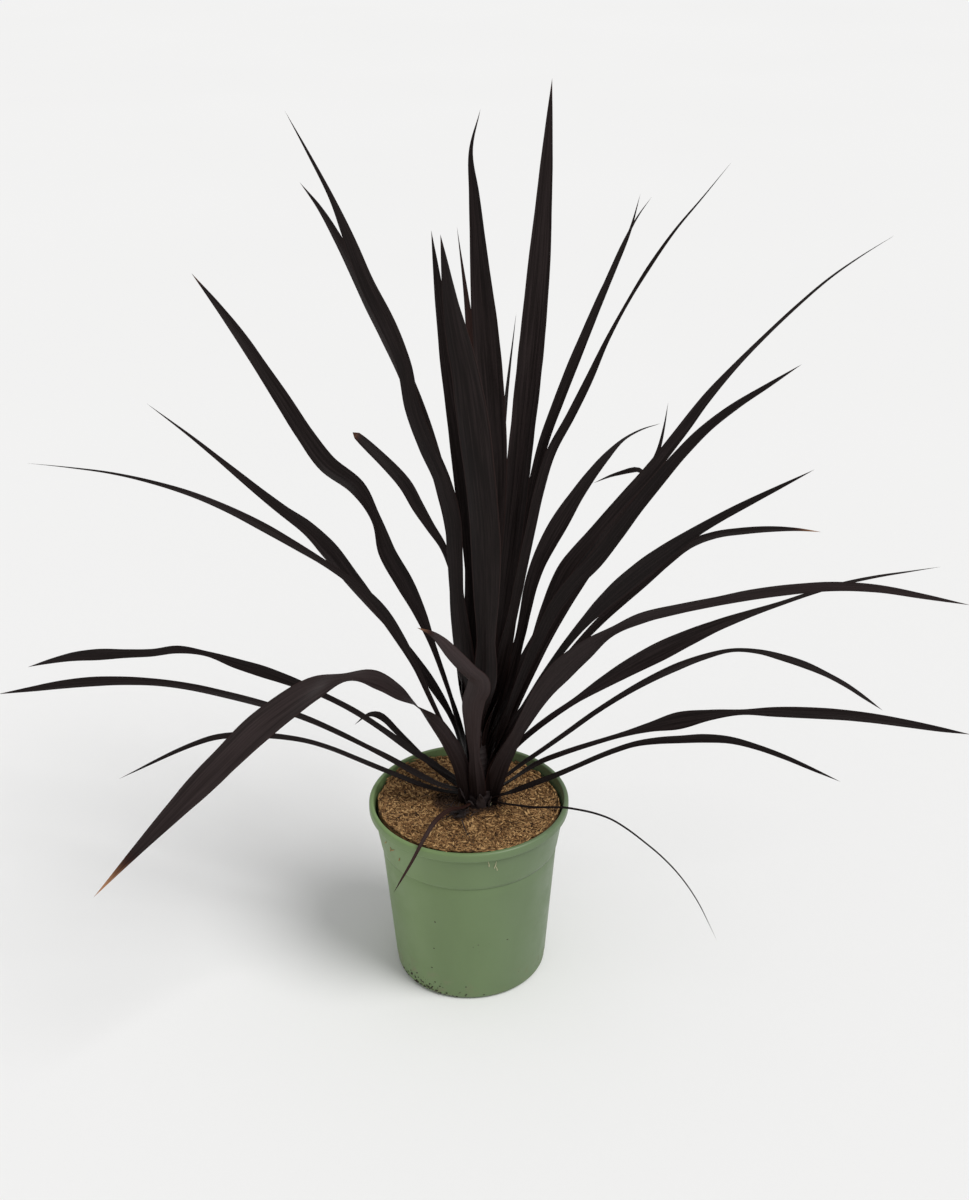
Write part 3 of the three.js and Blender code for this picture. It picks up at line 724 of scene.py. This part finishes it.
class CABBAGETREE_OT_root_ball(bpy.types.Operator):
    """Give the potting mix inside the pot its crumbly finish"""

    bl_idname = "cabbage_tree.root_ball"
    bl_label = "Potting mix"

    def execute(self, context):
        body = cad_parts["root_ball"]
        body.data.materials.clear()
        body.data.materials.append(material_named("potting_mix", mix_material))
        return {"FINISHED"}


# Spots where shade under the crown is painted dark into the husk: a centre, and the distances from and to
# which the painted shade fades out
PAINTED_SHADE_SPOTS = (
    (Vector((-14 * MM, 2 * MM)), 13 * MM, 27 * MM),
    (Vector((-9 * MM, -20 * MM)), 5 * MM, 14 * MM),
    (STEM_AXIS, 17 * MM, 28 * MM),
)


def painted_shade(place):
    """1 where shade is painted dark into the husk, left and in front of the crown and round the stem, and 0
    away from it.
    """
    dry = min(ease((place.xy - centre).length, wet, dried) for centre, wet, dried in PAINTED_SHADE_SPOTS)
    return min(1.0, (1 - dry) * (1.15 + 0.6 * noise.noise(place * 150)))


def dressing_relief(place):
    """How far the loose husk rises above its bed: lumps all over, and a heap towards the wall on the left."""
    broad = noise.noise(Vector((place.x, place.y, 0)) * 70)
    fine = noise.noise(Vector((place.x, place.y, 0.3)) * 320)
    outwards = ease(place.xy.length, 40 * MM, DRESSING_RADIUS)
    leftwards = ease(-place.x - 0.4 * place.y, -30 * MM, 40 * MM)
    return 0.9 * MM * broad + 0.5 * MM * fine + 2.6 * MM * outwards * leftwards


def dressing_bed():
    """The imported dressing, merged, made fine and roughened on top."""
    fine_edge = 2.2 * MM
    underside = DRESSING_LOW.z + 1 * MM
    top_side = DRESSING_LOW.z + 4 * MM
    bm = node_copy("top_dressing")
    for _ in range(3):
        coarse = [
            edge for edge in bm.edges
            if edge.calc_length() > fine_edge and edge.verts[0].co.z > underside]
        bmesh.ops.subdivide_edges(bm, edges=coarse, cuts=1)
        bmesh.ops.triangulate(bm, faces=[face for face in bm.faces if len(face.verts) > 3])
    for vert in bm.verts:
        if vert.co.z > top_side and vert.normal.z > 0.5:
            vert.co.z += dressing_relief(vert.co)
    return bm


def chip_shapes(draw):
    """A few bent and twisted chips of unit length, lying along X."""
    kinds = 8
    flatness = 0.35
    shapes = []
    for _ in range(kinds):
        bend, twist = draw.uniform(-0.12, 0.16), draw.uniform(-0.6, 0.6)
        blunt = draw.uniform(0.25, 0.6)

        def place(share, across, side):
            bulge = math.sin(math.pi * share)
            half = 0.5 * bulge ** blunt
            turned = twist * (share - 0.5)
            level = across * math.cos(turned) - side * flatness * math.sin(turned)
            rise = across * math.sin(turned) + side * flatness * math.cos(turned)
            return Vector((share - 0.5, level * half, rise * half + bend * bulge))

        shapes.append(mesh_of(swept(place, 4, 4), "chip"))
    return shapes


BED_TONE = 0.22
WALL_CLEARANCE = 0.4 * MM


class CABBAGETREE_OT_dressing(bpy.types.Operator):
    """Roughen the dressing's bed and scatter loose husk chips over it"""

    bl_idname = "cabbage_tree.dressing"
    bl_label = "Husk dressing"

    def execute(self, context):
        look = context.scene.cabbage_tree.dressing
        husk = material_named("coir_husk", husk_material, look)
        draw = Random(look.seed)
        bed = dressing_bed()
        tone = bed.verts.layers.float.new("tone")
        for vert in bed.verts:
            # Painted shade: the bed's tone falls to black in the shaded spots round the crown.
            vert[tone] = BED_TONE * (1 - painted_shade(vert.co))
        surface = BVHTree.FromBMesh(bed)
        shapes = chip_shapes(draw)
        chips = bmesh.new()
        for _ in range(look.chips):
            self.add_chip(chips, surface, shapes, look, draw)
        for mesh in shapes:
            bpy.data.meshes.remove(mesh)
        make_piece("husk_bed", bed, husk, ["top_dressing"])
        make_piece("husk_chips", chips, husk)
        return {"FINISHED"}

    def add_chip(self, chips, surface, shapes, look, draw):
        """Drops a chip at random on the bed. Close to the wall it lies along it and a little higher."""
        length = look.chip_length * draw.uniform(0.55, 1.35)
        width = look.chip_width * draw.uniform(0.6, 1.35)
        reach = DRESSING_RADIUS - WALL_CLEARANCE
        radius = reach * math.sqrt(draw.random())
        turn = draw.uniform(0, math.tau)
        above = Vector((radius * math.cos(turn), radius * math.sin(turn), POT_HIGH.z + 20 * MM))
        spin, tilt, roll = draw.uniform(0, math.tau), draw.gauss(0, 0.24), draw.gauss(0, 0.5)
        lift = draw.uniform(-0.1, 1.1) * MM
        tone = min(1.0, max(0.0, draw.gauss(0.54, 0.27)))
        shape = draw.choice(shapes)
        hit = surface.ray_cast(above, Vector((0, 0, -1)))[0]
        if hit is None or (above.xy - STEM_AXIS).length < STEM_RADIUS:
            return
        if radius > reach - length / 2:
            spin = turn + math.pi / 2 + draw.uniform(-0.25, 0.25)
            lift += 1.8 * MM * ease(radius, reach - 3 * MM, reach)
        turned = Euler((roll, tilt, spin), "XYZ").to_matrix().to_4x4()
        sized = Matrix.Diagonal((length, width, width, 1))
        mesh = shape.copy()
        mesh.transform(Matrix.Translation(hit + Vector((0, 0, lift))) @ turned @ sized)
        # Painted shade: a chip's tone falls to black in the shaded spots round the crown.
        add_mesh(chips, mesh, tone * (1 - painted_shade(hit)))


# Stem, old sheaths and litter round the crown

def stem_profile():
    """The stem's section, ringed where old leaves came off."""
    foot = STEM_LOW.z + 1 * MM
    head = STEM_HIGH.z - 2 * MM
    shoulder = 196 * MM
    tip_radius = 3 * MM
    inset = 0.3 * MM
    rings = 18
    scar = ((-0.5, -0.9), (0, 0), (-0.35, 1.1))
    points = [(0, STEM_LOW.z), (STEM_RADIUS - 1 * MM, STEM_LOW.z)]
    for index in range(rings + 1):
        height = mix(foot, head, index / rings)
        narrowing = max(0.0, (height - shoulder) / (STEM_HIGH.z - shoulder))
        radius = mix(STEM_RADIUS, tip_radius, narrowing) - inset
        points += [(radius + out * MM, height + up * MM) for out, up in scar]
    return points + [(0, STEM_HIGH.z)]


class CABBAGETREE_OT_stem(bpy.types.Operator):
    """Turn the short ringed stem"""

    bl_idname = "cabbage_tree.stem"
    bl_label = "Stem"

    def execute(self, context):
        bm = lathe(stem_profile(), 40, tuple(STEM_AXIS))
        make_piece("ringed_stem", bm, material_named("stem_bark", bark_material), ["stem"])
        return {"FINISHED"}


# The twig's points: x, y and height over the husk in millimetres
TWIG = ((-7, -33, 1.8), (-5, -43, 0.9), (-3, -52, 0.7), (1, -64, 1.2))
SHEATHS = 9
ROOT_FIBRES = 75
FIBRE_STEP = 2.6 * MM


class CABBAGETREE_OT_litter(bpy.types.Operator):
    """Lay the old fibrous sheaths, root fibres and a twig round the crown"""

    bl_idname = "cabbage_tree.litter"
    bl_label = "Old sheaths and litter"

    def execute(self, context):
        draw = Random(23)
        bark = material_named("stem_bark", bark_material)
        sheaths = bmesh.new()
        for index in range(SHEATHS):
            self.add_old_sheath(sheaths, math.tau * index / SHEATHS + draw.uniform(-0.2, 0.2), draw)
        make_piece("old_sheaths", sheaths, bark)
        # Black root fibres, clumped in front and left of the crown, which also deepen the painted shade in
        # that patch.
        fibres = bmesh.new()
        for _ in range(ROOT_FIBRES):
            self.add_root_fibre(fibres, draw)
        make_piece("crown_fibres", fibres, bark)
        twig = bmesh.new()
        points = [Vector((x * MM, y * MM, DRESSING_HIGH.z + rise * MM)) for x, y, rise in TWIG]
        add_strand(twig, points, 0.75 * MM, 8, 20, 0.4)
        make_piece("fallen_twig", twig, bark)
        return {"FINISHED"}

    def add_old_sheath(self, sheaths, turn, draw):
        """A short torn sheath that hugs the stem and stands out a little at its top."""
        out = Vector((math.cos(turn), math.sin(turn), 0))
        level = Vector((-out.y, out.x, 0))
        foot = Vector((*STEM_AXIS, DRESSING_HIGH.z - 7 * MM))
        length, half = draw.uniform(16, 30) * MM, draw.uniform(5, 8) * MM
        lean, skew = draw.uniform(0.05, 0.4), draw.uniform(-0.25, 0.25)

        def place(share, across, side):
            radius = STEM_RADIUS + 1.4 * MM + lean * length * share ** 2
            angle = across * half * (1 - share ** 3) / radius
            ragged = 1 + 0.12 * noise.noise(Vector((across * 3, share * 4, turn)))
            rim = out * math.cos(angle) + level * math.sin(angle)
            skin = -0.45 * MM * side
            climbed = (Vector((0, 0, 1)) + level * skew) * length * share
            return foot + rim * (radius + skin) * ragged + climbed

        add_mesh(sheaths, mesh_of(swept(place, 16, 14), "sheath"), 0.4)

    def add_root_fibre(self, fibres, draw):
        """A fine black fibre that wanders over the husk at the front left of the crown; the clump of them
        also deepens the painted shade there.
        """
        x, y, rise = draw.gauss(-9, 4.5), draw.gauss(-20, 4.5), draw.uniform(-0.5, 1.5)
        points = [Vector((x * MM, y * MM, DRESSING_HIGH.z + rise * MM))]
        heading = draw.uniform(0, math.tau)
        for _ in range(4):
            heading += draw.uniform(-1.1, 1.1)
            rise = draw.uniform(-0.4, 1.1) * MM
            step = Vector((math.cos(heading) * FIBRE_STEP, math.sin(heading) * FIBRE_STEP, rise))
            points.append(points[-1] + step)
        add_strand(fibres, points, draw.uniform(0.25, 0.45) * MM, 5, 12, 0.0)


# Leaves

def rings_from(tip):
    """The rings of neighbouring points, from the one next to a tip to the last one."""
    rings, seen = [{tip}], {tip}
    while rings[-1]:
        rings.append({edge.other_vert(vert) for vert in rings[-1] for edge in vert.link_edges} - seen)
        seen |= rings[-1]
    return rings[1:-1]


def plain_ribs(name):
    """A packed leaf's ribs from foot to tip: each one's middle, and its right edge minus its left."""
    bm = node_copy(name)
    walks = [(vert, rings_from(vert)) for vert in bm.verts if len(vert.link_edges) == 4]
    walks = [(tip, rings) for tip, rings in walks if all(len(ring) == 4 for ring in rings)]
    if len(walks) != 1:
        raise RuntimeError(f"{name} isn't made of four-cornered ribs that lead to one tip")
    tip, rings = walks[0]
    middles, widths, raised = [], [], []
    for ring in reversed(rings):
        corners = [vert.co.copy() for vert in ring]
        along = widths[-1] if widths else None
        left, right = max(
            permutations(corners, 2),
            key=lambda pair: (pair[1] - pair[0]).dot(along) if along else (pair[1] - pair[0]).length)
        between = [corner for corner in corners if corner not in (left, right)]
        middles.append((between[0] + between[1]) / 2)
        widths.append(right - left)
        raised.append((left + right) / 2 - middles[-1])
    middles.append(tip.co.copy())
    bm.free()
    towards_face = sum(
        lift.dot((after - before).cross(width))
        for lift, before, after, width in zip(raised, middles, middles[1:], widths))
    if towards_face < 0:
        widths = [-width for width in widths]
    return middles, widths


class Blade:
    """A leaf's midline, its level directions and its widths, worked out from its plain packed blade."""

    def __init__(self, name, look):
        self.look = look
        self.own = {**PLAIN_LEAF, **LEAF_LOOKS.get(name, {})}
        middles, widths = plain_ribs(name)
        raised = ease(middles[0].z, 188 * MM, 245 * MM)
        self.sheath = self.own["sheath"] * MM or mix(3.4 * MM, 9 * MM, raised)
        self.reach = self.own["reach"] * MM or mix(55 * MM, 220 * MM, raised)
        self.middles = [middles[0] - Vector((0, 0, look.foot_drop)), *middles]
        self.knots = [0.0]
        for before, after in zip(self.middles, self.middles[1:]):
            self.knots.append(self.knots[-1] + (after - before).length)
        self.length = self.knots[-1]
        halves = [width.length / 2 for width in widths]
        self.halves = [halves[0], *halves, 0.0]
        levels = [width.normalized() for width in widths]
        self.levels = [levels[0], *levels, levels[-1]]
        self.turn_knots, self.turns = zip(*self.own["turns"])
        self.seed = sum(map(ord, name)) % 97 * 1.37
        out = middles[0].xy - STEM_AXIS
        self.clasp_radius = max(out.length, 6 * MM)
        self.clasp = Vector((out.y, -out.x, 0)).normalized()
        if self.clasp.dot(levels[0]) <= -0.2:
            self.clasp = -self.clasp

    def frame_at(self, distance):
        """The midline's point, its direction, the direction across and the face's direction there."""
        step = 1.5 * MM
        clasp_length = self.look.clasp_length
        centre = smooth_curve(self.knots, self.middles, distance)
        ahead = smooth_curve(self.knots, self.middles, min(distance + step, self.length))
        behind = smooth_curve(self.knots, self.middles, max(distance - step, 0))
        along = (ahead - behind).normalized()
        across = smooth_curve(self.knots, self.levels, distance)
        held = 1 - ease(distance, 0.15 * clasp_length, 0.7 * clasp_length)
        across = mix(across, self.clasp, held)
        turn = math.radians(smooth_curve(self.turn_knots, self.turns, distance / self.length))
        sway = math.sin(self.seed + 9 * distance / self.length)
        turn += self.look.sway * sway * ease(distance, 0.5 * clasp_length, 2 * clasp_length)
        across.rotate(Matrix.Rotation(turn, 3, along))
        across = (across - along * across.dot(along)).normalized()
        return centre, along, across, along.cross(across)

    def half_width(self, distance):
        blade = self.own["slim"] * max(0.0, smooth_curve(self.knots, self.halves, distance))
        sheath = self.sheath * (1 - ease(distance, 0.2 * self.reach, self.reach))
        ripple = 1 + 0.03 * noise.noise(Vector((distance * 45, self.seed, 0)))
        curl = self.look.channel / math.sin(self.look.channel)
        return max(blade, sheath) * ripple * curl

    def thickness(self, distance):
        share = ease(distance, 0, 1.4 * self.look.clasp_length)
        thinning = 1 - 0.45 * distance / self.length
        tip = min(1.0, (self.length - distance) / (6 * MM) + 0.15)
        return mix(self.look.foot_thickness, self.look.blade_thickness, share) * thinning * tip

    def dryness(self, distance):
        own = self.own
        return max(own["dry"], own["tip_dry"] * ease(distance / self.length, own["tip_start"] - 0.02, 0.995))

    def shape(self):
        """The finished blade: channelled, rippled, ribbed along its middle and wrapped at its foot."""
        clasp_length = self.look.clasp_length
        rings = int(max(40, min(150, self.length / self.look.ring_step)))
        frames = []
        for ring in range(rings + 1):
            distance = self.length * ring / rings
            frames.append((*self.frame_at(distance), self.half_width(distance), self.thickness(distance)))
        marks = []

        def place(share, across, side):
            distance = share * self.length
            centre, _, level, face, half, thick = frames[round(share * rings)]
            spread = math.copysign(abs(across) ** 1.25, across)
            marks.append((spread, distance))
            hold = ease(distance, 0.15 * clasp_length, clasp_length)
            bend = mix(1 / self.clasp_radius, self.look.channel / max(half, 1.2 * MM), hold)
            arc_turn = spread * half * bend
            offset = math.sin(arc_turn) / bend
            lift = (1 - math.cos(arc_turn)) / bend
            keel = 0.5 * thick * math.exp(-((spread / 0.12) ** 2)) * (-1 if side < 0 else -0.45)
            crimp = 0.35 * MM * spread ** 2 * noise.noise(Vector((distance * 22, spread * 0.7, self.seed)))
            pleat = 0.07 * MM * math.cos(3 * math.pi * spread)
            skin = side * thick * 0.5 * (1 - 0.35 * spread ** 2)
            return centre + level * offset + face * (lift + skin + keel + crimp + pleat)

        bm = swept(place, self.look.sides, rings)
        blade = bm.verts.layers.float_vector.new("blade")
        tone = bm.verts.layers.float.new("tone")
        dry = bm.verts.layers.float.new("dry")
        for vert, (spread, distance) in zip(bm.verts, marks):
            vert[blade] = Vector((spread, distance, self.seed))
            # Painted shade: the tone drops to a tenth towards the foot, where the crowded leaf bases shade
            # each other.
            vert[tone] = self.own["tone"] * mix(0.1, 1, ease(distance, 0, 0.9 * clasp_length))
            vert[dry] = self.dryness(distance)
        return bm


class CABBAGETREE_OT_leaves(bpy.types.Operator):
    """Shape every strap leaf along its packed plain blade"""

    bl_idname = "cabbage_tree.leaves"
    bl_label = "Leaves"

    def execute(self, context):
        look = context.scene.cabbage_tree.leaves
        blade_finish = material_named("burgundy_blade", leaf_material, look)
        for name in sorted(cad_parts):
            if name.startswith("leaf_"):
                bm = Blade(name, look).shape()
                make_piece(f"{name}_blade", bm, blade_finish, [name])
        return {"FINISHED"}


# Stage

FLOOR_REACH = 60
KEY_DIRECTION = (-0.62, 0.38, -1.0)
KEY_TINT = (1.0, 0.995, 0.985)
SENSOR_WIDTH = 36


class CABBAGETREE_OT_stage(bpy.types.Operator):
    """Set the pale floor, the soft light and the camera"""

    bl_idname = "cabbage_tree.stage"
    bl_label = "Stage"

    def execute(self, context):
        look = context.scene.cabbage_tree.stage
        self.add_floor(look)
        self.add_light(context, look)
        self.add_camera(context, look)
        context.scene.view_settings.view_transform = "Standard"
        return {"FINISHED"}

    def add_floor(self, look):
        bm = bmesh.new()
        bmesh.ops.create_circle(bm, cap_ends=True, segments=96, radius=FLOOR_REACH)
        floor = linked("floor", mesh_of(bm, "floor"))
        floor.data.materials.append(floor_material(look.floor))

    def add_light(self, context, look):
        world = bpy.data.worlds.new("even_fill")
        world.use_nodes = True
        back = world.node_tree.nodes["Background"]
        back.inputs["Color"].default_value = (1.0, 1.0, 1.0, 1.0)
        back.inputs["Strength"].default_value = look.sky
        context.scene.world = world
        light = bpy.data.lights.new("broad_key", "SUN")
        light.energy = look.key
        light.angle = look.key_spread
        light.color = KEY_TINT
        lamp = linked("broad_key", light)
        lamp.rotation_mode = "QUATERNION"
        lamp.rotation_quaternion = Vector(KEY_DIRECTION).to_track_quat("-Z", "Y")

    def add_camera(self, context, look):
        pitch, yaw, roll = look.camera_pitch, look.camera_yaw, look.camera_roll
        sight = Vector((math.sin(yaw) * math.cos(pitch), math.cos(yaw) * math.cos(pitch), -math.sin(pitch)))
        level = Vector((math.cos(yaw), -math.sin(yaw), 0))
        up = level.cross(sight)
        right = level * math.cos(roll) + up * math.sin(roll)
        upright = up * math.cos(roll) - level * math.sin(roll)
        camera_data = bpy.data.cameras.new("camera")
        camera_data.lens = look.lens
        camera_data.sensor_width = SENSOR_WIDTH
        camera = linked("camera", camera_data)
        turned = Matrix((right, upright, -sight)).transposed().to_4x4()
        camera.matrix_world = Matrix.Translation(look.camera_place) @ turned
        context.scene.camera = camera


STEPS = (
    CABBAGETREE_OT_pot,
    CABBAGETREE_OT_pot_marks,
    CABBAGETREE_OT_root_ball,
    CABBAGETREE_OT_dressing,
    CABBAGETREE_OT_stem,
    CABBAGETREE_OT_litter,
    CABBAGETREE_OT_leaves,
    CABBAGETREE_OT_stage,
)


class CABBAGETREE_PT_panel(bpy.types.Panel):
    """Buttons and settings for the potted cabbage tree"""

    bl_idname = "CABBAGETREE_PT_panel"
    bl_label = "Cabbage tree"
    bl_space_type = "VIEW_3D"
    bl_region_type = "UI"
    bl_category = "Cabbage tree"

    def draw(self, context):
        settings = context.scene.cabbage_tree
        for group in (settings.pot, settings.dressing, settings.leaves, settings.stage):
            box = self.layout.box()
            for name in group.__annotations__:
                box.prop(group, name)
        for step in STEPS:
            self.layout.operator(step.bl_idname)


CLASSES = (
    PotSettings,
    DressingSettings,
    LeafSettings,
    StageSettings,
    PlantSettings,
    *STEPS,
    CABBAGETREE_PT_panel,
)


def register():
    for made in CLASSES:
        bpy.utils.register_class(made)
    bpy.types.Scene.cabbage_tree = PointerProperty(type=PlantSettings)


def unregister():
    del bpy.types.Scene.cabbage_tree
    for made in reversed(CLASSES):
        bpy.utils.unregister_class(made)


def main():
    register()
    bpy.ops.cabbage_tree.pot()
    bpy.ops.cabbage_tree.pot_marks()
    bpy.ops.cabbage_tree.root_ball()
    bpy.ops.cabbage_tree.dressing()
    bpy.ops.cabbage_tree.stem()
    bpy.ops.cabbage_tree.litter()
    bpy.ops.cabbage_tree.leaves()
    bpy.ops.cabbage_tree.stage()


if __name__ == "__main__":
    main()
